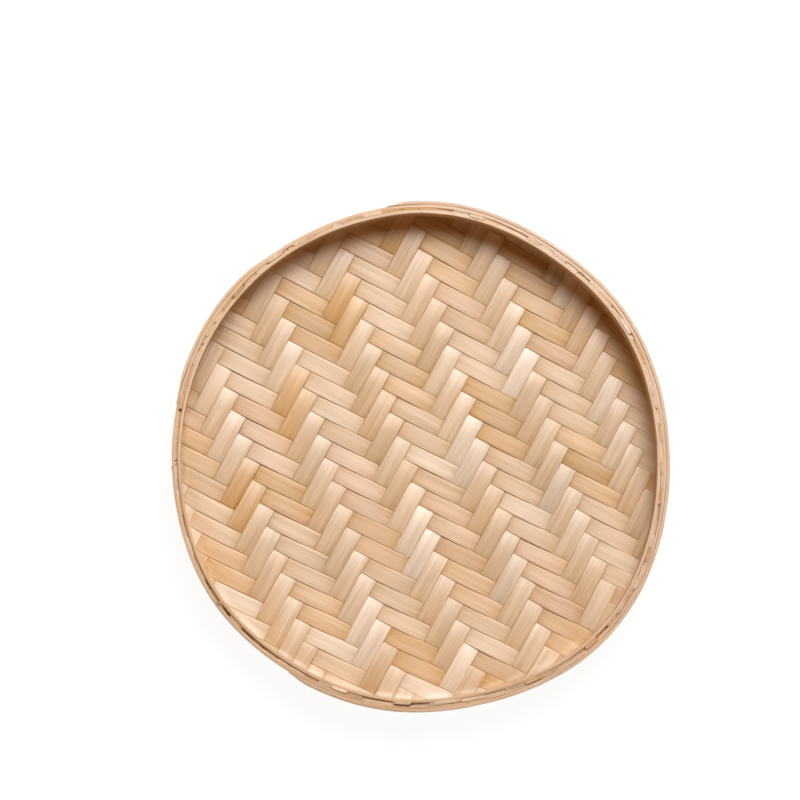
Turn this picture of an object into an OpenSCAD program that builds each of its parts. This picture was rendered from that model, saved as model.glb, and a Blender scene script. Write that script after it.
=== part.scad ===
// Round woven bamboo tray. A twill mat of flat strips is bent up at its edge and clamped
// between an inner hoop and two outer bands, which are pinned with small pegs.
// Millimetres. +Z is up. The origin is on the ground under the middle of the tray.
// Warp strips run along Y, weft strips run along X.

/* [Tray] */
// Diameter over the outermost band of the rim
tray_d = 300; // [260:5:340]
// Height of the highest hoop above the ground
tray_h = 25; // [23:0.5:32]
// Outside radius of the bend between floor and wall
bend_r = 7.5; // [6:0.5:9]

/* [Weave] */
// Number of strips in each direction
strips = 28; // [20:2:28]
// Number of crossings that a strip passes over, and then under
float_len = 3; // [2:1:4]
// Thickness of a strip
strip_t = 0.55; // [0.4:0.05:0.7]
// Clear height between two strips where they cross
layer_gap = 0.2; // [0.1:0.05:0.3]
// Gap between two neighbouring strips
strip_gap = 0.6; // [0.5:0.1:1.2]
// Sideways shift of the warp strips from the middle of the tray
warp_shift = 2; // [-4:0.5:4]
// Sideways shift of the weft strips from the middle of the tray
weft_shift = -2; // [-4:0.5:4]
// Number of crossings by which the twill is moved along
twill_phase = 0; // [0:1:7]

/* [Rim] */
// Thickness of each hoop and band
hoop_t = 1.9; // [1.4:0.1:2.2]
// Play between neighbouring layers of the rim
rim_play = 0.1; // [0.05:0.05:0.2]
// Distance from the ground to the lower edge of the outer hoops
outer_foot = 4; // [3:0.5:6]
// Distance from the bend to the lower edge of the inner hoop
inner_foot = 1; // [0.5:0.5:3]
// Distance from the highest hoop down to the trimmed edge of the mat
mat_trim = 4.5; // [4:0.5:6]
// Direction in which the outer band starts
band_start = -94; // [-100:1:-92]
// Direction in which the outer band ends
band_end = 125; // [122:1:140]
// Direction in which the tail of the outer hoop starts to climb over its head
tail_start = 153; // [152:1:156]
// Direction in which the tail of the outer hoop ends
tail_end = 195; // [190:1:205]

/* [Pegs] */
// Number of pegs round the rim
pegs = 12; // [12:12:24]
// Diameter of a peg
peg_d = 1.8; // [1.4:0.1:2]
// Clearance round a peg in its hole, on the diameter
peg_play = 0.1; // [0.05:0.05:0.2]

/* [Hidden] */
// Mat: two strips thick, its floor flat as far as floor_r
mat_t = 2 * strip_t + layer_gap;
band_r = tray_d / 2;
outer_r = band_r - hoop_t - rim_play;
wall_r = outer_r - hoop_t - rim_play;
inner_r = wall_r - mat_t - rim_play;
floor_r = wall_r - bend_r;

// Lengths along the mat, measured on its underside from the middle of the floor
bend_end = floor_r + bend_r * PI / 2;
mat_end = bend_end + tray_h - mat_trim - bend_r;
// How far out the outermost strips lie on the bend, as a share of its radius
outermost_share = 0.78;
weave_reach = floor_r + outermost_share * bend_r;
pitch = 2 * weave_reach / strips;
strip_w = pitch - strip_gap;

// How far the tops of the hoop and band and the pegs lie below the highest hoop, and how
// far the band's lower edge lies above the outer hoop's
outer_drop = 0.6;
band_drop = 0.2;
peg_drop = 2.4;
band_lift = 0.5;
outer_top = tray_h - outer_drop;
band_top = tray_h - band_drop;
band_foot = outer_foot + band_lift;
peg_z = tray_h - peg_drop;

// Rim directions in degrees: the outer hoop's climb, the gap between its ramp and its head,
// the spacing of a lath's corners, and where the inner hoop's lap starts and how long it is
ramp_angle = 9;
head_gap = 1.5;
lath_step = 3;
lap_start = -37.5;
lap_angle = 27;
// Play in the scarf of the inner hoop, and how thin its tips are planed
lap_play = 0.06;
scarf_tip = 0.2;

// Spacing of the cross sections along a strip where it is bent
bend_step = 3;
longest_step = 14;
closest_step = 1.2;
// Points across a strip, on the floor and where it is bent
flat_across = 2;
bent_across = 3;
$fn = 180;

function two_digits(n) = n < 10 ? str("0", n) : str(n);
warp_names = [for (i = [1:strips]) str("warp_", two_digits(i))];
weft_names = [for (i = [1:strips]) str("weft_", two_digits(i))];

// Bamboo colours, given out along the strips in a fixed rhythm
tones = ["#e3c49a", "#dcb88a", "#ead2ae", "#d9ae7c", "#e0bfa0", "#cfa26a", "#eddcc0"];
function tone(i) = tones[(i * 3 + floor(i / 4)) % len(tones)];

// --- Weave rule -------------------------------------------------------------------

// Middle of strip i, counted from 0, and the border between strips i - 1 and i
function centre(i, shift) = (i + 0.5 - strips / 2) * pitch + shift;
function border(i, shift) = (i - strips / 2) * pitch + shift;
function cell(at, shift) = floor((at - shift) / pitch + strips / 2);

// Remainder that stays positive for negative numbers
function wrap(a, n) = a - n * floor(a / n);
function warp_over(i, j) = wrap(i + j + twill_phase, 2 * float_len) < float_len;

// A strip is described as [is_warp, index]. Along it runs v: +Y for a warp, -X for a weft.
function is_over(strip, v) =
    strip[0] ? warp_over(strip[1], cell(v, weft_shift))
             : !warp_over(cell(-v, warp_shift), strip[1]);
function lift(strip, v) = is_over(strip, v) ? strip_t + layer_gap : 0;

// --- Dish: a point of the flat mat, raised by n, placed on the bent mat --------------

function bent(s, n) =
    s <= floor_r ? [s, n] :
    s <= bend_end ?
        let (a = (s - floor_r) / bend_r * 180 / PI)
        [floor_r + (bend_r - n) * sin(a), bend_r - (bend_r - n) * cos(a)] :
    [wall_r - n, bend_r + s - bend_end];

function dish(u, v, n) =
    let (s = norm([u, v]), p = bent(s, n), k = s == 0 ? 1 : p[0] / s)
    [u * k, v * k, p[1]];

// --- Stations: where along a strip its cross sections stand --------------------------

function half_chord(r, u) = abs(u) >= r ? 0 : sqrt(r * r - u * u);
function strip_mid(strip) = centre(strip[1], strip[0] ? warp_shift : weft_shift);
function outer_edge(strip) = abs(strip_mid(strip)) + strip_w / 2;
function flat_half(strip) = half_chord(floor_r, outer_edge(strip));
function strip_half(strip) = half_chord(mat_end, outer_edge(strip));

function steps_along(u, v, last) =
    v >= last - closest_step ? [] :
    let (step = min(longest_step, bend_step * norm([u, v]) / max(v, 1)))
    concat([v], steps_along(u, v + step, last));

// Borders of the crossing strips where this strip changes sides
function crossings(strip) =
    let (half = strip_half(strip), inside = half - strip_gap - closest_step)
    [for (i = [0:strips])
        let (v = strip[0] ? border(i, weft_shift) : -border(i, warp_shift))
        if (abs(v) < inside && is_over(strip, v - strip_gap) != is_over(strip, v + strip_gap)) v];

function crossing_stations(strip) =
    [for (v = crossings(strip), side = [-1, 1]) v + side * strip_gap / 2];

function bend_stations(strip) =
    let (first = flat_half(strip),
         half = steps_along(strip_mid(strip), first, strip_half(strip)),
         fixed = crossing_stations(strip))
    [for (v = half, side = first == 0 && v == 0 ? [1] : [-1, 1])
        if (min([for (c = fixed) abs(c - side * v)]) > closest_step) side * v];

function sorted(a) =
    len(a) < 2 ? a :
    let (pivot = a[floor(len(a) / 2)])
    concat(sorted([for (x = a) if (x < pivot) x]), [pivot], sorted([for (x = a) if (x > pivot) x]));

function stations(strip) =
    let (half = strip_half(strip))
    concat([-half], sorted(concat(crossing_stations(strip), bend_stations(strip))), [half]);

// --- Strip as a closed solid of cross sections ---------------------------------------

function across(strip, v) = abs(v) < flat_half(strip) ? flat_across : bent_across;

function section(strip, v) =
    let (m = across(strip, v), n = lift(strip, v), mid = strip_mid(strip))
    [for (rise = [n, n + strip_t], j = [0:m - 1])
        dish(mid + (j / (m - 1) - 0.5) * strip_w, v, rise)];

// Index of the first point of each section
function starts(counts, i = 0, at = 0) =
    i == len(counts) ? [] : concat([at], starts(counts, i + 1, at + 2 * counts[i]));

// Triangles between two runs of points, a and b. Runs of unequal length lie on the flat
// floor, where a fan from the shorter run's first point joins them.
function split(q) = [[q[0], q[1], q[2]], [q[0], q[2], q[3]]];
function row(a, b) =
    len(a) == len(b) ?
        [for (j = [0:len(a) - 2]) each split([a[j], b[j], b[j + 1], a[j + 1]])] :
    len(a) < len(b) ?
        concat([for (j = [0:len(b) - 2]) [a[0], b[j], b[j + 1]]], [[a[0], b[len(b) - 1], a[1]]]) :
        concat([for (j = [0:len(a) - 2]) [b[0], a[j + 1], a[j]]], [[b[0], b[1], a[len(a) - 1]]]);
function turned(faces) = [for (f = faces) [f[0], f[2], f[1]]];
function run(first, count) = [for (j = [0:count - 1]) first + j];

function joint_faces(a, na, b, nb) = concat(
    turned(row(run(a, na), run(b, nb))),
    row(run(a + na, na), run(b + nb, nb)),
    split([a, b, b + nb, a + na]),
    split([a + na - 1, a + 2 * na - 1, b + 2 * nb - 1, b + nb - 1]));

function end_faces(a, n) =
    [for (j = [0:n - 2]) each split([a + j, a + n + j, a + n + j + 1, a + j + 1])];

module woven_strip(strip) {
    at = stations(strip);
    counts = [for (v = at) across(strip, v)];
    first = starts(counts);
    last = len(at) - 1;
    points = [for (v = at) each section(strip, v)];
    faces = concat(
        [for (i = [0:last - 1]) each joint_faces(first[i], counts[i], first[i + 1], counts[i + 1])],
        end_faces(first[0], counts[0]),
        turned(end_faces(first[last], counts[last])));
    polyhedron(points, faces);
}

module warp(i) {
    color(tone(i)) woven_strip([true, i]);
}

module weft(i) {
    color(tone(i + 5)) rotate([0, 0, 90]) woven_strip([false, i]);
}

// --- Rim ----------------------------------------------------------------------------

function polar(r, a) = [r * cos(a), r * sin(a)];

// Directions of the corners of a bent lath from a to b. The flats between them are
// centred on the pegs.
function bends(a, b) = concat(
    [a],
    [for (k = [floor(a / lath_step):ceil(b / lath_step)])
        let (at = (k + 0.5) * lath_step)
        if (at > a + 1 && at < b - 1) at],
    [b]);

// A lath bent round the tray, given the [direction, inside radius, outside radius] of its corners
module bent_lath(corners, foot, top) {
    inside = [for (c = corners) polar(c[1], c[0])];
    outside = [for (k = [len(corners) - 1:-1:0]) polar(corners[k][2], corners[k][0])];
    translate([0, 0, foot])
        linear_extrude(top - foot)
            polygon(concat(inside, outside));
}

// How far a has come from one direction to another, as 0 to 1
function part(a, from, to) = max(0, min(1, (a - from) / (to - from)));

module peg_holes() {
    from = inner_r - 2 * hoop_t;
    for (k = [0:pegs - 1])
        rotate([0, 0, 360 * k / pegs])
            translate([from, 0, peg_z])
                rotate([0, 90, 0])
                    cylinder(h = band_r + hoop_t - from, d = peg_d + peg_play);
}

// Inside hoop, its two ends planed thin and laid on each other as a long scarf
module inner_hoop() {
    low = inner_r - hoop_t;
    thin = hoop_t * scarf_tip;
    tail = lap_start + 360;
    function parting(a, from) = low + thin + (hoop_t - 2 * thin) * part(a, from, from + lap_angle);
    corners = [for (a = bends(lap_start, tail + lap_angle))
        [a, a < tail ? low : parting(a, tail) + lap_play / 2,
            a > lap_start + lap_angle ? inner_r : parting(a, lap_start) - lap_play / 2]];
    color("#e2c096")
        difference() {
            bent_lath(corners, bend_r + inner_foot, tray_h);
            peg_holes();
        }
}

// Outside hoop, its tail climbing over its own head
module outer_hoop() {
    low = outer_r - hoop_t;
    head = tail_start + ramp_angle + head_gap - 360;
    climb = hoop_t + rim_play;
    corners = [for (a = bends(head, tail_end))
        let (r = low + climb * part(a, tail_start, tail_start + ramp_angle))
        [a, r, r + hoop_t]];
    color("#dcb98c")
        difference() {
            bent_lath(corners, outer_foot, outer_top);
            peg_holes();
        }
}

// Second outside band, open between its two cut ends
module outer_band() {
    color("#e6c9a0")
        difference() {
            rotate([0, 0, band_start])
                rotate_extrude(angle = band_end - band_start)
                    translate([band_r - hoop_t, band_foot])
                        square([hoop_t, band_top - band_foot]);
            peg_holes();
        }
}

// A peg reaches through the band or tail where there is one, or else through the hoop
function doubled(a) =
    let (b = a > band_start + 360 ? a - 360 : a)
    (b > band_start && b < band_end) || (b > tail_start + ramp_angle && b < tail_end);

module rim_pegs() {
    start = inner_r - hoop_t;
    color("#c99a63")
        for (k = [0:pegs - 1]) {
            a = 360 * k / pegs;
            stop = doubled(a) ? band_r : outer_r;
            rotate([0, 0, a])
                translate([start, 0, peg_z])
                    rotate([0, 90, 0])
                        cylinder(h = stop - start, d = peg_d);
        }
}

for (i = [0:strips - 1]) {
    warp(i);
    weft(i);
}
inner_hoop();
outer_hoop();
outer_band();
rim_pegs();
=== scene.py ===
"""Looks of a round woven bamboo tray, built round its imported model.

Flat bamboo strips are woven three over and three under, bent up at the edge and held
between bent laths. X runs along the weft strips, Y along the warp strips, in metres.
"""

import math

import bmesh
import bpy
from mathutils import Matrix, Vector


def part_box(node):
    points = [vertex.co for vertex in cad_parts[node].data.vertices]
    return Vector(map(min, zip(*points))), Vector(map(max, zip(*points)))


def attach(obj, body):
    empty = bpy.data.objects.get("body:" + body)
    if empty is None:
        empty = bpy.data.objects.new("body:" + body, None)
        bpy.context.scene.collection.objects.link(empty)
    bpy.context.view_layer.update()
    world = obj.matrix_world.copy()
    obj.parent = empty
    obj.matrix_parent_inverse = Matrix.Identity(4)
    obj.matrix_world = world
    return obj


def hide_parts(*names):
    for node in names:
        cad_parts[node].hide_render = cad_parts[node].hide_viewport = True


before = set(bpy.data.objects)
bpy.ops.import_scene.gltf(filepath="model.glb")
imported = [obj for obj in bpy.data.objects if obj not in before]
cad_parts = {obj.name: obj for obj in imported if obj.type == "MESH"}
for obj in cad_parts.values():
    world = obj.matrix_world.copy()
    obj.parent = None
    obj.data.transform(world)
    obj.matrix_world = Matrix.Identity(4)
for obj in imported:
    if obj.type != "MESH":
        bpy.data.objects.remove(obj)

bl_info = {
    "name": "Woven bamboo tray",
    "version": (1, 0, 0),
    "blender": (4, 5, 0),
    "location": "3D View > Sidebar > Tray",
    "description": "Weaves a round bamboo tray and binds its rim",
    "category": "Object",
}

MM = 0.001
BODY = "root"

# How the tray is put together
STRIPS = sum(name.startswith("warp_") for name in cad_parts)
FLOAT_LENGTH = 3
PEGS = 12
PEG_SUNK = 0.2 * MM
SAMPLES_A_CROSSING = 11
LATH_SAMPLES_A_DEGREE = 1.5

# One letter for each strip, in order along X for the warp and along Y for the weft
WARP_TONES = "scscchhscssscscppssccpcccscs"
WEFT_TONES = "ccphhscshhrrrscsshthsssrhhtt"

# Slow waves that take the rim out of round: how many go round the rim, the size in mm and
# the direction of one crest in degrees
OUT_OF_ROUND = (
    (2, 1.3, 135),
    (3, 1.0, 111),
    (4, 0.65, 72),
    (5, 0.4, 53),
    (6, 0.55, 52),
    (8, 0.25, 19),
)

# Section and path of a strip. Shares are of its thickness, and steps are counted in crossings
SECTION_POINTS = 16
SECTION_SQUARE_ACROSS = 0.8
SECTION_SQUARE_UP = 0.25
SAMPLES_GATHER = 0.78
STEP_HALF = 0.035
STEP_SHARE = 0.53
SEAT_SHARE = 1.17
BOW_FADE = (-16 * MM, 2 * MM)
END_FIT = 12 * MM
TRIM_STEP = 0.15 * MM
WORN_DIRECTION = 243

# How much the strips swell in the bend, and how they fill the slot between the laths
SWELL_IN_BEND = 0.3
SWELL_IN_SLOT = 2.0
SLOT_RISE = (1 * MM, 8 * MM)

# Ends of the laths: how thin they are, as a share, and how far their faces shift
THIN_END = 0.28
HEAD_HUG = 0.5

# Directions in degrees between which the outer hoop climbs over its own head
CLIMB_FROM = 151.5
CLIMB_TO = 163.5

# Light: the room is amber, so that shadows are brown, and the camera sees it pale
ROOM_COLOUR = (1.0, 0.55, 0.25, 1.0)
ROOM_STRENGTH = 0.23
PALE_STRENGTH = 0.97
FLOOR_GLOW = 1.02
FLOOR_SIZE = 3.0


# --- What the frame says about the weave and the rim -------------------------------------


def weave_from_frame():
    """Pitch, width and offsets of the strips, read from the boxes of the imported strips."""
    middle = STRIPS // 2
    steps = 5
    sizes = {}
    for family, axis in (("warp", 0), ("weft", 1)):
        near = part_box(f"{family}_{middle + 1:02d}")[1][axis]
        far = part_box(f"{family}_{middle + 1 + steps:02d}")[1][axis]
        low, high = (corner[axis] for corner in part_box(f"{family}_{middle:02d}"))
        sizes["pitch"] = (far - near) / steps
        if family == "warp":
            sizes["width"] = high - low
        sizes[family] = near - sizes["width"] / 2 - sizes["pitch"] / 2
    return sizes


WEAVE = weave_from_frame()
BAND_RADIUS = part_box("outer_band")[1].x
RIM_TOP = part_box("inner_hoop")[1].z
INNER_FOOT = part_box("inner_hoop")[0].z
OUTER_FOOT, OUTER_TOP = (corner.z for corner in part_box("outer_hoop"))
BAND_FOOT, BAND_TOP = (corner.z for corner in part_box("outer_band"))


# --- Settings a user may change -----------------------------------------------------------


def length(name, description, default_mm):
    return bpy.props.FloatProperty(
        name=name,
        description=description,
        default=default_mm * MM,
        subtype="DISTANCE",
        unit="LENGTH",
    )


def angle(name, description, degrees):
    return bpy.props.FloatProperty(
        name=name,
        description=description,
        default=math.radians(degrees),
        subtype="ANGLE",
        unit="ROTATION",
    )


def colour(name, description, default):
    return bpy.props.FloatVectorProperty(
        name=name,
        description=description,
        default=default,
        subtype="COLOR",
        size=3,
        min=0,
        max=1,
    )


class TrayWeaveSettings(bpy.types.PropertyGroup):
    """Sizes of the woven mat."""

    strip_gap: length("Strip gap", "Gap between two strips, below zero where they lap", -0.25)
    strip_thickness: length("Strip thickness", "Thickness of one split strip", 0.6)
    bow: length("Bow", "How far a warp float rises", 0.95)
    crown: length("Crown", "How far a strip's middle stands above its edges", 0.11)
    ragged: length("Ragged", "How far splintered fibres make an edge uneven", 0.14)
    roll: length("Roll", "How far one edge of a strip stands above the other", 0.22)
    wander: length("Wander", "How far a strip strays sideways", 0.16)
    bend_radius: length("Bend radius", "Radius of the bend between floor and wall", 7.5)
    mat_edge: length("Mat edge", "How far the trimmed edge lies below the rim", 0.2)
    worn_edge: length("Worn edge", "How much lower the edge lies on the worn side", 1.5)
    weft_bow: bpy.props.FloatProperty(
        name="Weft bow",
        description="Bow of the weft floats, as a share of the warp's",
        default=0.45,
        min=0,
        max=1,
    )
    warp_turn: angle("Warp turn", "How far the warp strips are turned from Y towards X", 1.25)
    weft_turn: angle("Weft turn", "How far the weft strips are turned from X towards Y", 0.45)
    spread: bpy.props.FloatProperty(
        name="Spread",
        description="How much further apart the warp strips lie than planned",
        default=1.012,
        min=0.95,
        max=1.05,
    )
    drift: length("Drift", "How far the weft strips have slid towards +Y", -1.3)
    fan: bpy.props.FloatProperty(
        name="Fan",
        description="How fast the weft strips spread along X, as a share for each metre",
        default=-0.2,
    )


class TrayRimSettings(bpy.types.PropertyGroup):
    """Sizes of the laths that make the rim."""

    lath_thickness: length("Lath thickness", "Thickness of each bent lath", 1.9)
    layer_play: length("Layer play", "Play between the layers of the rim", 0.1)
    mat_thickness: length("Mat thickness", "Thickness of the mat where it is clamped", 1.3)
    edge_round: length("Edge round", "Rounding of the laths' edges", 0.16)
    waviness: length("Waviness", "How far a lath's top edge rises and falls", 0.25)
    peg_diameter: length("Peg diameter", "Diameter of a peg", 1.8)


class TrayColourSettings(bpy.types.PropertyGroup):
    """Colours of the split bamboo."""

    pale: colour("Pale", "Strips from the inside of the cane", (0.80, 0.65, 0.51))
    cream: colour("Cream", "Light strips", (0.75, 0.57, 0.41))
    straw: colour("Straw", "Most of the strips", (0.72, 0.525, 0.36))
    rosy: colour("Rosy", "Strips with a pink cast", (0.70, 0.48, 0.32))
    honey: colour("Honey", "Golden strips", (0.69, 0.46, 0.265))
    tan: colour("Tan", "The darkest strips", (0.60, 0.385, 0.20))
    lath: colour("Lath", "The bent laths of the rim", (0.71, 0.495, 0.335))
    peg: colour("Peg", "The pegs", (0.45, 0.25, 0.11))
    floor: colour("Floor", "The floor under the tray", (0.92, 0.92, 0.91))


TONE_NAMES = {"p": "pale", "c": "cream", "s": "straw", "r": "rosy", "h": "honey", "t": "tan"}


# --- Formulas in node trees ---------------------------------------------------------------


class Field:
    """A number that a node tree works out, so that formulas read as sums."""

    def __init__(self, tree, socket):
        self.tree = tree
        self.socket = socket

    def math(self, operation, *others):
        node = self.tree.nodes.new("ShaderNodeMath")
        node.operation = operation
        for slot, value in zip(node.inputs, (self, *others)):
            if isinstance(value, Field):
                self.tree.links.new(value.socket, slot)
            else:
                slot.default_value = value
        return Field(self.tree, node.outputs[0])

    def __add__(self, other):
        return self.math("ADD", other)

    def __sub__(self, other):
        return self.math("SUBTRACT", other)

    def __mul__(self, other):
        return self.math("MULTIPLY", other)

    def __truediv__(self, other):
        return self.math("DIVIDE", other)

    __radd__ = __add__
    __rmul__ = __mul__

    def __rsub__(self, other):
        return (self * -1) + other

    def ramp(self, low, high):
        """0 below low, 1 above high, smooth between them."""
        t = ((self - low) / (high - low)).math("MAXIMUM", 0).math("MINIMUM", 1)
        return t * t * (3 - 2 * t)

    def power(self, exponent):
        """The sign is kept and the size is raised to a power."""
        return self.math("SIGN") * self.math("ABSOLUTE").math("POWER", exponent)


def add_node(tree, kind, links=(), **settings):
    """Adds a node. Links are (input, value or Field or socket)."""
    node = tree.nodes.new(kind)
    for name, value in settings.items():
        setattr(node, name, value)
    for slot, value in links:
        if isinstance(value, Field):
            tree.links.new(value.socket, node.inputs[slot])
        elif isinstance(value, bpy.types.NodeSocket):
            tree.links.new(value, node.inputs[slot])
        else:
            node.inputs[slot].default_value = value
    return node


def vector(tree, x, y, z):
    node = add_node(tree, "ShaderNodeCombineXYZ", [(0, x), (1, y), (2, z)])
    return node.outputs[0]


def noise(tree, place, detail=2.0):
    """Smooth noise along a line, from about -1 to 1."""
    node = add_node(
        tree,
        "ShaderNodeTexNoise",
        [("W", place), ("Scale", 1.0), ("Detail", detail)],
        noise_dimensions="1D",
    )
    return (Field(tree, node.outputs[0]) - 0.5) * 3


def scatter(tree, place):
    """A fixed random number from -1 to 1 for each place."""
    node = add_node(tree, "ShaderNodeTexWhiteNoise", [("W", place)], noise_dimensions="1D")
    return Field(tree, node.outputs["Value"]) * 2 - 1


def new_tree(name, inputs):
    """A geometry tree with named inputs. Returns the tree and its inputs as a dict."""
    tree = bpy.data.node_groups.new(name, "GeometryNodeTree")
    tree.is_modifier = True
    for label, kind in inputs.items():
        tree.interface.new_socket(label, in_out="INPUT", socket_type=f"NodeSocket{kind}")
    tree.interface.new_socket("Geometry", in_out="OUTPUT", socket_type="NodeSocketGeometry")
    sockets = tree.nodes.new("NodeGroupInput").outputs
    fields = {}
    for label, kind in inputs.items():
        is_number = kind in ("Float", "Int")
        fields[label] = Field(tree, sockets[label]) if is_number else sockets[label]
    return tree, fields


def named(tree, name, kind="FLOAT"):
    node = add_node(tree, "GeometryNodeInputNamedAttribute", [("Name", name)], data_type=kind)
    return Field(tree, node.outputs[0])


def store(tree, geometry, name, value, kind="FLOAT"):
    node = add_node(
        tree,
        "GeometryNodeStoreNamedAttribute",
        [("Geometry", geometry), ("Name", name), ("Value", value)],
        data_type=kind,
        domain="POINT",
    )
    return node.outputs[0]


def close_tree(tree, geometry, material):
    """Ends a tree: real mesh, smooth, with its material."""
    real = add_node(tree, "GeometryNodeRealizeInstances", [("Geometry", geometry)])
    smooth = add_node(tree, "GeometryNodeSetShadeSmooth", [(0, real.outputs[0])])
    painted = add_node(
        tree, "GeometryNodeSetMaterial", [("Geometry", smooth.outputs[0]), ("Material", material)]
    )
    output = tree.nodes.new("NodeGroupOutput")
    tree.links.new(painted.outputs[0], output.inputs[0])


def swept_tube(tree, samples, profile):
    """A straight tube of a profile, with each point's place along it stored as along."""
    line = add_node(tree, "GeometryNodeCurvePrimitiveLine")
    dense = add_node(
        tree, "GeometryNodeResampleCurve", [("Curve", line.outputs[0]), ("Count", samples)]
    )
    factor = add_node(tree, "GeometryNodeSplineParameter").outputs["Factor"]
    path = store(tree, dense.outputs[0], "along", factor)
    tube = add_node(
        tree,
        "GeometryNodeCurveToMesh",
        [("Curve", path), ("Profile Curve", profile), ("Fill Caps", True)],
    )
    return tube.outputs[0]


def out_of_round(tree, x, y):
    """How far the rim lies outside a true circle in the direction of a point, in metres."""
    direction = y.math("ARCTAN2", x)
    total = None
    for waves, size, crest in OUT_OF_ROUND:
        wave = ((direction - math.radians(crest)) * waves).math("COSINE") * (size * MM)
        total = wave if total is None else total + wave
    return total


def place_points(tree, geometry, x, y, z):
    node = add_node(
        tree,
        "GeometryNodeSetPosition",
        [("Geometry", geometry), ("Position", vector(tree, x, y, z))],
    )
    return node.outputs[0]


def strip_tree():
    """Tree that weaves one strip: a flat tube laid over and under its neighbours, then bent."""
    tree, use = new_tree(
        "Woven strip",
        {
            "Number": "Float",
            "Is Weft": "Float",
            "Middle": "Float",
            "Half Length": "Float",
            "Samples": "Int",
            "Pitch": "Float",
            "Crossing Shift": "Float",
            "Width": "Float",
            "Thickness": "Float",
            "Bow": "Float",
            "Crown": "Float",
            "Roll": "Float",
            "Wander": "Float",
            "Ragged": "Float",
            "Skew": "Float",
            "Floor Radius": "Float",
            "Bend Radius": "Float",
            "Mat Reach": "Float",
            "Worn Edge": "Float",
            "Tone": "Color",
            "Material": "Material",
        },
    )
    circle = add_node(
        tree, "GeometryNodeCurvePrimitiveCircle", [("Resolution", SECTION_POINTS)]
    )
    factor = add_node(tree, "GeometryNodeSplineParameter").outputs["Factor"]
    profile = store(tree, circle.outputs[0], "around", factor)
    tube = swept_tube(tree, use["Samples"], profile)

    number, pitch, half = use["Number"], use["Pitch"], use["Half Length"]
    width, thick, shift = use["Width"], use["Thickness"], use["Crossing Shift"]
    is_weft = use["Is Weft"]
    # Every fault below takes its own share of the seed, so that no two of them match
    seed = number + is_weft * 100

    # Section of the strip: flat, with soft edges
    turn = named(tree, "around") * math.tau
    across = turn.math("COSINE").power(SECTION_SQUARE_ACROSS) * (width / 2)
    rise = turn.math("SINE").power(SECTION_SQUARE_UP) * (thick / 2)

    # Place along the strip in crossings, with the samples gathered at the borders
    first = (half * -1 - shift) / pitch + STRIPS / 2
    even = first + named(tree, "along") * (half * 2 / pitch)
    crossing = even - (even * math.tau).math("SINE") * (SAMPLES_GATHER / math.tau)
    along = (crossing - STRIPS / 2) * pitch + shift

    # Over and under: the twill moves on by one crossing from strip to strip
    cycle = 2 * FLOAT_LENGTH
    phase = crossing + number
    beat = (phase + FLOAT_LENGTH / 2).math("FLOORED_MODULO", cycle)
    to_change = FLOAT_LENGTH / 2 - (beat - FLOAT_LENGTH).math("ABSOLUTE")
    step = (to_change / STEP_HALF).math("MAXIMUM", -1).math("MINIMUM", 1)
    side = (step * (math.pi / 2)).math("SINE") * (thick * STEP_SHARE)
    float_count = (phase / FLOAT_LENGTH).math("FLOOR")
    into_float = phase / FLOAT_LENGTH - float_count
    hump = (into_float.math("POWER", 2.0 - is_weft) * math.pi).math("SINE")
    arch = hump * (1 - float_count.math("FLOORED_MODULO", 2.0) * 2)
    fullness = 1 + scatter(tree, float_count + seed * 41.3) * 0.3
    over = 1 - is_weft * 2
    on_top = (arch * over).math("GREATER_THAN", 0.0)

    # Small faults of hand work: u runs across the strip from the middle of the tray
    stray = noise(tree, along * 22 + seed * 17.7) * use["Wander"]
    which_edge = named(tree, "around").math("ROUND")
    ragged = noise(tree, along * 420 + seed * 3.9 + which_edge * 51) * use["Ragged"]
    uneven = 1 + noise(tree, along * 30 + seed * 7.1) * 0.02
    broad = across * uneven + across.math("SIGN") * ragged
    tilt = scatter(tree, float_count * 3.7 + seed * 9.2) * 0.8 + 1
    edge = across / (width / 2)
    u = use["Middle"] + broad + stray + along * use["Skew"]

    # The trimmed edge follows the circle of the rim, lower on one worn side: v runs along
    towards = (along + (u - along) * is_weft).math("ARCTAN2", u + (along - u) * is_weft)
    worn_side = (towards - math.radians(WORN_DIRECTION)).math("COSINE").ramp(0.72, 0.97)
    reach = use["Mat Reach"] - worn_side * use["Worn Edge"]
    own_end = (reach * reach - u * u).math("MAXIMUM", 0).math("SQRT")
    near_end = (along.math("ABSOLUTE") - half) / END_FIT + 1
    near_end = near_end.math("MAXIMUM", 0).math("MINIMUM", 1)
    v = along + along.math("SIGN") * near_end * (own_end - half)

    # Distance from the middle, measured along the mat
    reached = (u * u + v * v).math("SQRT")
    floor_r, bend_r = use["Floor Radius"], use["Bend Radius"]
    flat = 1 - reached.ramp(floor_r + BOW_FADE[0], floor_r + BOW_FADE[1])
    up_wall = (reached - floor_r - bend_r * (math.pi / 2)).math("MAXIMUM", 0)

    # Height over the floor: a strip lies low, steps over its neighbours, bows and rolls
    risen = (arch * over).math("MAXIMUM", 0) * use["Bow"] * fullness
    rolled = edge * tilt * use["Roll"] * hump * (0.12 + on_top * 0.88)
    swollen = 1 + (1 - flat) * SWELL_IN_BEND + up_wall.ramp(*SLOT_RISE) * SWELL_IN_SLOT
    lift = (
        thick * SEAT_SHARE
        + over * side
        + (risen - rolled) * flat
        + rise * swollen
        - edge * edge * use["Crown"] * rise.math("SIGN").math("MAXIMUM", 0)
    )

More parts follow.
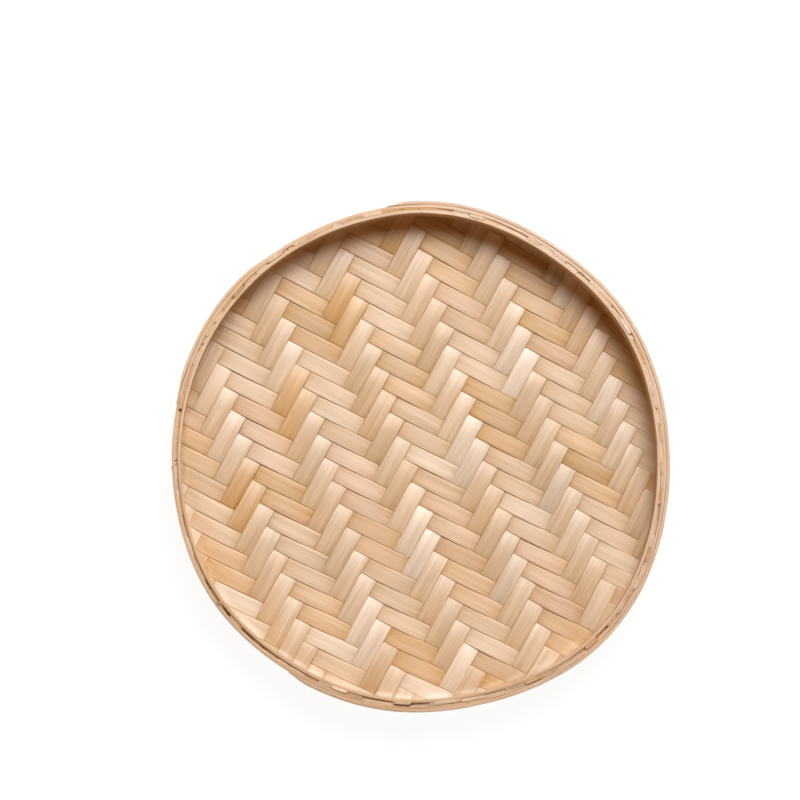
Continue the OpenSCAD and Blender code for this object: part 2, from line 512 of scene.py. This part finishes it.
    # Bent up at the edge, then fitted to the rim, which is out of round
    bend = ((reached - floor_r) / bend_r).math("MAXIMUM", 0).math("MINIMUM", math.pi / 2)
    radius = reached.math("MINIMUM", floor_r) + (bend_r - lift) * bend.math("SINE")
    height = bend_r - (bend_r - lift) * bend.math("COSINE") + up_wall
    x = u + (v - u) * is_weft
    y = v + (u - v) * is_weft
    share = (radius / (floor_r + bend_r)).math("POWER", 4)
    scale = (radius + out_of_round(tree, x, y) * share) / reached.math("MAXIMUM", 1e-6)
    woven = place_points(tree, tube, x * scale, y * scale, height)

    # The fibres start anew on every float. Painted light and shade: a warp float is painted
    # brighter towards its +Y end and darker where it dips under its neighbours, a weft float is
    # painted brighter on its hump and darker at its ends, each float gets its own random tone,
    # and the bend is painted darker as shade
    fibre = vector(tree, along, across, seed * 0.37 + float_count * 1.3)
    woven = store(tree, woven, "fibre", fibre, "FLOAT_VECTOR")
    woven = store(tree, woven, "edge", edge)
    warp_dip_shade = (1 - into_float.ramp(0.0, 0.2)) * 0.05
    warp_painted_light = into_float.ramp(-0.2, 0.95) * 0.24 - 0.17 - warp_dip_shade
    weft_dip_shade = (into_float - 0.5).math("ABSOLUTE").ramp(0.34, 0.5) * 0.07
    weft_painted_light = (hump - 0.62) * 0.07 - weft_dip_shade
    painted_light_and_tone = warp_painted_light + (weft_painted_light - warp_painted_light) * is_weft
    painted_light_and_tone = painted_light_and_tone + scatter(tree, float_count * 1.7 + seed * 5.1) * 0.07
    # Painted shade: the mat is darker in the bend
    woven = store(tree, woven, "shade", painted_light_and_tone - (1 - flat) * 0.05)
    woven = store(tree, woven, "tone", use["Tone"], "FLOAT_COLOR")
    close_tree(tree, woven, use["Material"])
    return tree


def lath_tree():
    """Tree that bends one lath of the rim, which may climb over itself and has thinned ends."""
    tree, use = new_tree(
        "Bent lath",
        {
            "Seed": "Float",
            "From": "Float",
            "To": "Float",
            "Samples": "Int",
            "Inside Radius": "Float",
            "Thickness": "Float",
            "Foot": "Float",
            "Top": "Float",
            "Edge Round": "Float",
            "Waviness": "Float",
            "Climb Start": "Float",
            "Climb End": "Float",
            "Climb": "Float",
            "Head Taper": "Float",
            "Tail Taper": "Float",
            "Tail Lift": "Float",
            "Inner Shade": "Float",
            "Tone": "Color",
            "Material": "Material",
        },
    )
    thick = use["Thickness"]
    tall = use["Top"] - use["Foot"]
    box = add_node(
        tree, "GeometryNodeCurvePrimitiveQuadrilateral", [("Width", thick), ("Height", tall)]
    )
    rounded = add_node(
        tree,
        "GeometryNodeFilletCurve",
        [
            ("Curve", box.outputs[0]),
            ("Radius", use["Edge Round"]),
            ("Count", 4),
            ("Limit Radius", True),
        ],
        mode="POLY",
    )
    corner = add_node(tree, "GeometryNodeInputPosition").outputs[0]
    profile = store(tree, rounded.outputs[0], "section", corner, "FLOAT_VECTOR")
    tube = swept_tube(tree, use["Samples"], profile)

    section = named(tree, "section", "FLOAT_VECTOR")
    parts = add_node(tree, "ShaderNodeSeparateXYZ", [(0, section)])
    depth = Field(tree, parts.outputs["X"])
    level = Field(tree, parts.outputs["Y"])
    direction = use["From"] + named(tree, "along") * (use["To"] - use["From"])

    # Thinned ends: the head hugs the layer inside it, and the tail lifts to one side
    run = direction - use["From"]
    rest = use["To"] - direction
    head = run.ramp(0, use["Head Taper"]) * (1 - THIN_END) + THIN_END
    tail = rest.ramp(0, use["Tail Taper"]) * (1 - THIN_END) + THIN_END
    thin = head.math("MINIMUM", tail)
    shifted = depth * thin + (1 - tail) * thick * use["Tail Lift"]
    shifted = shifted - (1 - head) * thick * HEAD_HUG

    # Bent round the rim, with an uneven face and an uneven top edge
    seed = use["Seed"]
    swell = 1 + noise(tree, direction * 7 + seed * 5.3) * 0.07
    wave = noise(tree, direction * 3.1 + seed * 11.9)
    climbed = direction.ramp(use["Climb Start"], use["Climb End"]) * use["Climb"]
    middle = use["Inside Radius"] + thick / 2 + climbed
    play = noise(tree, direction * 5 + seed * 3.3) * (0.12 * MM)
    radius = middle + shifted * swell + play
    upper = (level / tall + 0.5).ramp(0.6, 1.0)
    height = use["Foot"] + tall / 2 + level + wave * use["Waviness"] * upper
    x = direction.math("COSINE")
    y = direction.math("SINE")
    radius = radius + out_of_round(tree, x, y)
    bent = place_points(tree, tube, x * radius, y * radius, height)
    fibre = vector(tree, direction * use["Inside Radius"], depth + seed * 0.01, level)
    bent = store(tree, bent, "fibre", fibre, "FLOAT_VECTOR")
    bent = store(tree, bent, "edge", depth / (thick / 2))
    # Painted shade low on the face towards the middle, and painted light and shade round the
    # rim: lighter towards 78 degrees and darker on the opposite side
    inner_face = (depth / thick).math("LESS_THAN", -0.46)
    low_face_shade = inner_face * (1 - level.ramp(tall * 0.1, tall * 0.46))
    painted_light_side = (direction - math.radians(78)).math("COSINE") * 0.07
    bent = store(tree, bent, "shade", painted_light_side - low_face_shade * use["Inner Shade"])
    bent = store(tree, bent, "tone", use["Tone"], "FLOAT_COLOR")
    close_tree(tree, bent, use["Material"])
    return tree


def peg_tree():
    """Tree that sets whittled pegs round the rim."""
    tree, use = new_tree(
        "Rim pegs",
        {
            "Count": "Int",
            "Diameter": "Float",
            "Inside Radius": "Float",
            "Length": "Float",
            "Height": "Float",
            "Tone": "Color",
            "Material": "Material",
        },
    )
    radius = use["Inside Radius"] + use["Length"] / 2
    ring = add_node(
        tree,
        "GeometryNodeMeshCircle",
        [("Vertices", use["Count"]), ("Radius", radius)],
        fill_type="NONE",
    )
    points = add_node(tree, "GeometryNodeMeshToPoints", [("Mesh", ring.outputs[0])])
    peg = add_node(
        tree,
        "GeometryNodeMeshCone",
        [
            ("Vertices", 10),
            ("Side Segments", 4),
            ("Radius Top", use["Diameter"] * 0.46),
            ("Radius Bottom", use["Diameter"] * 0.5),
            ("Depth", use["Length"]),
        ],
    )
    to_middle = vector(tree, 0.0, 0.0, use["Length"] * -0.5)
    centred = add_node(
        tree,
        "GeometryNodeTransform",
        [("Geometry", peg.outputs["Mesh"]), ("Translation", to_middle)],
    )
    place = add_node(tree, "GeometryNodeInputPosition").outputs[0]
    aim = add_node(tree, "FunctionNodeAlignRotationToVector", [("Vector", place)], axis="Z")
    set_out = add_node(
        tree,
        "GeometryNodeInstanceOnPoints",
        [
            ("Points", points.outputs[0]),
            ("Instance", centred.outputs[0]),
            ("Rotation", aim.outputs[0]),
        ],
    )
    real = add_node(tree, "GeometryNodeRealizeInstances", [("Geometry", set_out.outputs[0])])
    place = add_node(tree, "GeometryNodeInputPosition").outputs[0]
    parts = add_node(tree, "ShaderNodeSeparateXYZ", [(0, place)])
    x, y, z = (Field(tree, parts.outputs[i]) for i in range(3))
    away = (x * x + y * y).math("SQRT")
    scale = 1 + out_of_round(tree, x, y) / away
    pegs = place_points(tree, real.outputs[0], x * scale, y * scale, z + use["Height"])
    fibre = vector(tree, away, z, y.math("ARCTAN2", x))
    pegs = store(tree, pegs, "fibre", fibre, "FLOAT_VECTOR")
    pegs = store(tree, pegs, "edge", z * 0)
    pegs = store(tree, pegs, "shade", z * 0)
    pegs = store(tree, pegs, "tone", use["Tone"], "FLOAT_COLOR")
    close_tree(tree, pegs, use["Material"])
    return tree


# --- Pieces -------------------------------------------------------------------------------


def tree_piece(name, tree, values):
    """Runs a tree with its inputs set and returns the result as a plain mesh object."""
    piece = bpy.data.objects.new(name, bpy.data.meshes.new(name))
    bpy.context.scene.collection.objects.link(piece)
    modifier = piece.modifiers.new(tree.name, "NODES")
    modifier.node_group = tree
    for item in tree.interface.items_tree:
        if item.in_out == "INPUT":
            modifier[item.identifier] = values[item.name]
    graph = bpy.context.evaluated_depsgraph_get()
    made = bpy.data.meshes.new_from_object(
        piece.evaluated_get(graph), preserve_all_data_layers=True, depsgraph=graph
    )
    piece.modifiers.clear()
    bare = piece.data
    piece.data = made
    bpy.data.meshes.remove(bare)
    made.name = name
    face_outwards(made)
    return piece


def face_outwards(mesh):
    """Turns a closed mesh that came out inside out, and keeps its cut ends flat."""
    shape = bmesh.new()
    shape.from_mesh(mesh)
    if shape.calc_volume(signed=True) < 0:
        bmesh.ops.reverse_faces(shape, faces=shape.faces)
    for face in shape.faces:
        face.smooth = len(face.verts) <= 4
    shape.to_mesh(mesh)
    shape.free()


def finish_piece(piece, node):
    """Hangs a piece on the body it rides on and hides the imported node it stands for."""
    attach(piece, BODY)
    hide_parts(node)


def with_alpha(colour_value):
    return (*colour_value, 1.0)


def wall_radius(rim):
    """Outside radius of the mat where it stands up as the wall."""
    return BAND_RADIUS - 2 * (rim.lath_thickness + rim.layer_play)


# --- Materials ----------------------------------------------------------------------------


def attribute(tree, name):
    return add_node(tree, "ShaderNodeAttribute", attribute_name=name)


def stretched_noise(tree, source, stretch, detail, roughness=0.55):
    """Noise drawn out along the fibres. Stretch is patterns a metre along, across and through."""
    scaled = add_node(
        tree, "ShaderNodeVectorMath", [(0, source), (1, stretch)], operation="MULTIPLY"
    )
    node = add_node(
        tree,
        "ShaderNodeTexNoise",
        [
            ("Vector", scaled.outputs[0]),
            ("Scale", 1.0),
            ("Detail", detail),
            ("Roughness", roughness),
        ],
    )
    return Field(tree, node.outputs["Fac"]) - 0.5


def bamboo_material(name, roughness, fibre_across, edge_shade):
    """Split bamboo: its own tone, fibres along the strip, faint stains, and painted light and
    shade.
    """
    material = bpy.data.materials.new(name)
    material.use_nodes = True
    tree = material.node_tree
    shader = tree.nodes["Principled BSDF"]
    fibre = attribute(tree, "fibre").outputs["Vector"]
    tone = attribute(tree, "tone").outputs["Color"]
    edge = Field(tree, attribute(tree, "edge").outputs["Fac"])
    shade = Field(tree, attribute(tree, "shade").outputs["Fac"])
    here = add_node(tree, "ShaderNodeTexCoord").outputs["Object"]

    fine = stretched_noise(tree, fibre, (45, fibre_across, 1), 3)
    streaks = stretched_noise(tree, fibre, (20, fibre_across * 0.36, 1), 2)
    stains = stretched_noise(tree, here, (28, 28, 28), 3)
    # Painted shade: darker where edge is near -1 or 1, at the sides of a strip and the faces of a
    # lath, standing in for the shade lines between parts
    worn = edge.math("ABSOLUTE").ramp(0.86, 1.0)

    # Painted shade where edge is positive: the side of a strip that lies under its neighbour, and
    # the outer face of a lath
    lower_side_shade = edge.ramp(0.1, 1.0)
    grain = 1 + fine * 0.26 + streaks * 0.42 + stains * 0.16
    # Value and warmth take the painted shade above and the painted light and shade carried by the
    # shade attribute; darker parts are also made more saturated
    value = grain - (worn + lower_side_shade * 0.8) * edge_shade + shade
    warmth = 1 - streaks * 0.5 + stains * 0.3 + lower_side_shade * edge_shade * 1.5 - shade * 1.3
    shaded = add_node(
        tree,
        "ShaderNodeHueSaturation",
        [("Saturation", warmth), ("Value", value), ("Color", tone)],
    )
    tree.links.new(shaded.outputs[0], shader.inputs["Base Color"])
    rough = roughness + fine * 0.25 + stains * 0.15
    tree.links.new(rough.socket, shader.inputs["Roughness"])
    bump = add_node(
        tree,
        "ShaderNodeBump",
        [("Strength", 0.35), ("Distance", 0.12 * MM), ("Height", fine + streaks * 0.6)],
    )
    tree.links.new(bump.outputs[0], shader.inputs["Normal"])
    shader.inputs["Specular IOR Level"].default_value = 0.5
    return material


def floor_material(floor_colour):
    """A pale floor that glows a little, so that shadows on it stay faint."""
    material = bpy.data.materials.new("studio_floor")
    material.use_nodes = True
    shader = material.node_tree.nodes["Principled BSDF"]
    shader.inputs["Base Color"].default_value = (0.1, 0.1, 0.1, 1.0)
    shader.inputs["Roughness"].default_value = 0.9
    shader.inputs["Specular IOR Level"].default_value = 0.0
    shader.inputs["Emission Color"].default_value = with_alpha(floor_colour)
    shader.inputs["Emission Strength"].default_value = FLOOR_GLOW
    return material


# --- Operators ----------------------------------------------------------------------------


class TRAY_OT_weave(bpy.types.Operator):
    """Weave one family of strips and bend them up at the edge"""

    bl_idname = "tray.weave"
    bl_label = "Weave strips"

    family: bpy.props.EnumProperty(
        name="Family",
        description="Which way the strips run",
        items=(("warp", "Warp", "Strips along Y"), ("weft", "Weft", "Strips along X")),
    )

    def execute(self, context):
        weave = context.scene.tray_weave
        rim = context.scene.tray_rim
        colours = context.scene.tray_colours
        is_weft = self.family == "weft"
        crossing = "warp" if is_weft else "weft"
        tones = WEFT_TONES if is_weft else WARP_TONES
        tree = bpy.data.node_groups.get("Woven strip") or strip_tree()
        material = bpy.data.materials.get("split_bamboo")
        material = material or bamboo_material("split_bamboo", 0.42, 1000, 0.07)
        floor_radius = wall_radius(rim) - weave.bend_radius
        bend_length = weave.bend_radius * math.pi / 2
        reach = floor_radius + bend_length + RIM_TOP - weave.mat_edge - weave.bend_radius
        turn = math.tan(weave.weft_turn if is_weft else weave.warp_turn)
        crossing_turn = math.tan(weave.warp_turn if is_weft else weave.weft_turn)
        pitch = WEAVE["pitch"] * (1 if is_weft else weave.spread)
        shifts = {"warp": WEAVE["warp"], "weft": WEAVE["weft"] + weave.drift}
        for index in range(STRIPS):
            node = f"{self.family}_{index + 1:02d}"
            middle = (index + 0.5 - STRIPS / 2) * pitch + shifts[self.family]
            fan = weave.fan * middle
            closing = weave.spread if is_weft else 1 + fan
            trimmed = reach - (index * 7 % 5) * TRIM_STEP
            half = math.sqrt(trimmed**2 - middle**2)
            tone = getattr(colours, TONE_NAMES[tones[index]])
            piece = tree_piece(
                f"{node}_strip",
                tree,
                {
                    "Number": float(index),
                    "Is Weft": float(is_weft),
                    "Middle": middle,
                    "Half Length": half,
                    "Samples": int(2 * half / WEAVE["pitch"] * SAMPLES_A_CROSSING),
                    "Pitch": WEAVE["pitch"] * closing,
                    "Crossing Shift": shifts[crossing] * closing + middle * crossing_turn,
                    "Width": pitch - weave.strip_gap,
                    "Thickness": weave.strip_thickness,
                    "Bow": weave.bow * (weave.weft_bow if is_weft else 1),
                    "Crown": weave.crown,
                    "Roll": weave.roll,
                    "Wander": weave.wander,
                    "Ragged": weave.ragged,
                    "Skew": turn + (fan if is_weft else 0),
                    "Floor Radius": floor_radius,
                    "Bend Radius": weave.bend_radius,
                    "Mat Reach": trimmed,
                    "Worn Edge": weave.worn_edge,
                    "Tone": with_alpha(tone),
                    "Material": material,
                },
            )
            finish_piece(piece, node)
        return {"FINISHED"}


class TRAY_OT_laths(bpy.types.Operator):
    """Bend the laths of the rim round the mat"""

    bl_idname = "tray.laths"
    bl_label = "Bend laths"

    def execute(self, context):
        rim = context.scene.tray_rim
        colours = context.scene.tray_colours
        tree = lath_tree()
        material = bamboo_material("lath_bamboo", 0.45, 1500, 0.03)
        thick = rim.lath_thickness
        wall = wall_radius(rim)
        # Directions and tapers are in degrees. Only the outer hoop is longer than the way round
        # and climbs over its own head
        laths = {
            "inner_hoop": {
                "seed": 1,
                "radius": wall - rim.mat_thickness - rim.layer_play - thick,
                "foot": INNER_FOOT,
                "top": RIM_TOP,
                "ends": (-37.5, 349.5),
                "tapers": (27, 27),
                "climb": 0.0,
                "tail_lift": 0.5,
                "inner_shade": 0.25,
            },
            "outer_hoop": {
                "seed": 2,
                "radius": wall + rim.layer_play,
                "foot": OUTER_FOOT,
                "top": OUTER_TOP,
                "ends": (-207, 195),
                "tapers": (11, 9),
                "climb": thick + rim.layer_play,
                "tail_lift": -0.5,
                "inner_shade": 0.0,
            },
            "outer_band": {
                "seed": 3,
                "radius": BAND_RADIUS - thick,
                "foot": BAND_FOOT,
                "top": BAND_TOP,
                "ends": (-94, 125),
                "tapers": (5, 5),
                "climb": 0.0,
                "tail_lift": -0.5,
                "inner_shade": 0.0,
            },
        }
        for node, lath in laths.items():
            start, end = lath["ends"]
            head_taper, tail_taper = lath["tapers"]
            piece = tree_piece(
                f"{node}_lath",
                tree,
                {
                    "Seed": float(lath["seed"]),
                    "From": math.radians(start),
                    "To": math.radians(end),
                    "Samples": int((end - start) * LATH_SAMPLES_A_DEGREE),
                    "Inside Radius": lath["radius"],
                    "Thickness": thick,
                    "Foot": lath["foot"],
                    "Top": lath["top"],
                    "Edge Round": rim.edge_round,
                    "Waviness": rim.waviness,
                    "Climb Start": math.radians(CLIMB_FROM),
                    "Climb End": math.radians(CLIMB_TO),
                    "Climb": lath["climb"],
                    "Head Taper": math.radians(head_taper),
                    "Tail Taper": math.radians(tail_taper),
                    "Tail Lift": lath["tail_lift"],
                    "Inner Shade": lath["inner_shade"],
                    "Tone": with_alpha(colours.lath),
                    "Material": material,
                },
            )
            finish_piece(piece, node)
        return {"FINISHED"}


class TRAY_OT_pegs(bpy.types.Operator):
    """Drive the pegs through the laths"""

    bl_idname = "tray.pegs"
    bl_label = "Drive pegs"

    def execute(self, context):
        rim = context.scene.tray_rim
        low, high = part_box("rim_pegs")
        start = wall_radius(rim) - rim.mat_thickness - rim.layer_play - rim.lath_thickness
        piece = tree_piece(
            "rim_pegs_whittled",
            peg_tree(),
            {
                "Count": PEGS,
                "Diameter": rim.peg_diameter,
                "Inside Radius": start + PEG_SUNK,
                "Length": BAND_RADIUS - rim.lath_thickness - start,
                "Height": (low.z + high.z) / 2,
                "Tone": with_alpha(context.scene.tray_colours.peg),
                "Material": bamboo_material("peg_bamboo", 0.6, 3000, 0.0),
            },
        )
        finish_piece(piece, "rim_pegs")
        return {"FINISHED"}


class TRAY_OT_stage(bpy.types.Operator):
    """Set the floor, the lights and the camera"""

    bl_idname = "tray.stage"
    bl_label = "Set the stage"

    def execute(self, context):
        scene = context.scene
        floor = bpy.data.objects.new("studio_floor", bpy.data.meshes.new("studio_floor"))
        shape = bmesh.new()
        bmesh.ops.create_grid(shape, x_segments=1, y_segments=1, size=FLOOR_SIZE)
        shape.to_mesh(floor.data)
        shape.free()
        floor.data.materials.append(floor_material(scene.tray_colours.floor))
        scene.collection.objects.link(floor)

        scene.world = room_world(scene.tray_colours.floor)
        add_light(
            "key_light",
            place=(-0.26, 1.23, 1.6),
            target=(0, 0, 0),
            size=1.5,
            power=39.5,
            tint=(0.94, 0.985, 1.0),
            spread=180,
        )
        add_light(
            "fill_light",
            place=(-0.1, 0.6, 0.95),
            target=(-0.03, -0.19, 0),
            size=0.4,
            power=0.26,
            tint=(1.0, 0.95, 0.9),
            spread=44,
        )
        scene.view_settings.view_transform = "Standard"
        scene.camera = add_camera()
        return {"FINISHED"}


def aim(place, target, up):
    """Rotation that looks from a place at a target with the given direction upwards."""
    back = (Vector(place) - Vector(target)).normalized()
    right = Vector(up).cross(back).normalized()
    return Matrix((right, back.cross(right), back)).transposed().to_4x4()


def room_world(floor_colour):
    """Soft light from all round, with a pale backdrop."""
    world = bpy.data.worlds.new("warm_room")
    world.use_nodes = True
    tree = world.node_tree
    room = tree.nodes["Background"]
    room.inputs["Color"].default_value = ROOM_COLOUR
    room.inputs["Strength"].default_value = ROOM_STRENGTH
    pale = add_node(
        tree,
        "ShaderNodeBackground",
        [("Color", with_alpha(floor_colour)), ("Strength", PALE_STRENGTH)],
    )
    seen = add_node(tree, "ShaderNodeLightPath").outputs["Is Camera Ray"]
    either = add_node(
        tree, "ShaderNodeMixShader", [(0, seen), (1, room.outputs[0]), (2, pale.outputs[0])]
    )
    tree.links.new(either.outputs[0], tree.nodes["World Output"].inputs["Surface"])
    return world


def add_light(name, place, target, size, power, tint, spread):
    """Round soft light. Spread is in degrees, power in watts."""
    data = bpy.data.lights.new(name, "AREA")
    data.shape = "DISK"
    data.size = size
    data.energy = power
    data.color = tint
    data.spread = math.radians(spread)
    light = bpy.data.objects.new(name, data)
    light.matrix_world = Matrix.Translation(place) @ aim(place, target, (0, 0, 1))
    bpy.context.scene.collection.objects.link(light)


def add_camera():
    """Camera almost straight above, leaning towards -Y, with the weave turned in its view."""
    turn = math.radians(27.5)
    lean = math.radians(4.5)
    away = 3.0
    frame_width = 0.4716
    place = Vector((0, -math.sin(lean), math.cos(lean))) * away + Vector((0, 0, RIM_TOP))
    target = (-0.0264, 0.0245, RIM_TOP)
    data = bpy.data.cameras.new("camera")
    data.lens = data.sensor_width * away / frame_width
    camera = bpy.data.objects.new("camera", data)
    up = (-math.sin(turn), math.cos(turn), 0)
    camera.matrix_world = Matrix.Translation(place) @ aim(place, target, up)
    bpy.context.scene.collection.objects.link(camera)
    return camera


class TRAY_PT_panel(bpy.types.Panel):
    """Panel that lists the steps of making the tray"""

    bl_idname = "TRAY_PT_panel"
    bl_label = "Bamboo tray"
    bl_space_type = "VIEW_3D"
    bl_region_type = "UI"
    bl_category = "Tray"

    def draw(self, context):
        scene = context.scene
        for settings in (scene.tray_weave, scene.tray_rim, scene.tray_colours):
            box = self.layout.box()
            for name in settings.bl_rna.properties.keys():
                if name not in ("rna_type", "name"):
                    box.prop(settings, name)
        for family in ("warp", "weft"):
            self.layout.operator("tray.weave", text=f"Weave {family}").family = family
        self.layout.operator("tray.laths")
        self.layout.operator("tray.pegs")
        self.layout.operator("tray.stage")


CLASSES = (
    TrayWeaveSettings,
    TrayRimSettings,
    TrayColourSettings,
    TRAY_OT_weave,
    TRAY_OT_laths,
    TRAY_OT_pegs,
    TRAY_OT_stage,
    TRAY_PT_panel,
)


def register():
    for item in CLASSES:
        bpy.utils.register_class(item)
    bpy.types.Scene.tray_weave = bpy.props.PointerProperty(type=TrayWeaveSettings)
    bpy.types.Scene.tray_rim = bpy.props.PointerProperty(type=TrayRimSettings)
    bpy.types.Scene.tray_colours = bpy.props.PointerProperty(type=TrayColourSettings)


def unregister():
    del bpy.types.Scene.tray_colours
    del bpy.types.Scene.tray_rim
    del bpy.types.Scene.tray_weave
    for item in reversed(CLASSES):
        bpy.utils.unregister_class(item)


def main():
    register()
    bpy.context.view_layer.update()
    bpy.ops.tray.stage()
    bpy.ops.tray.weave(family="warp")
    bpy.ops.tray.weave(family="weft")
    bpy.ops.tray.laths()
    bpy.ops.tray.pegs()


if __name__ == "__main__":
    main()
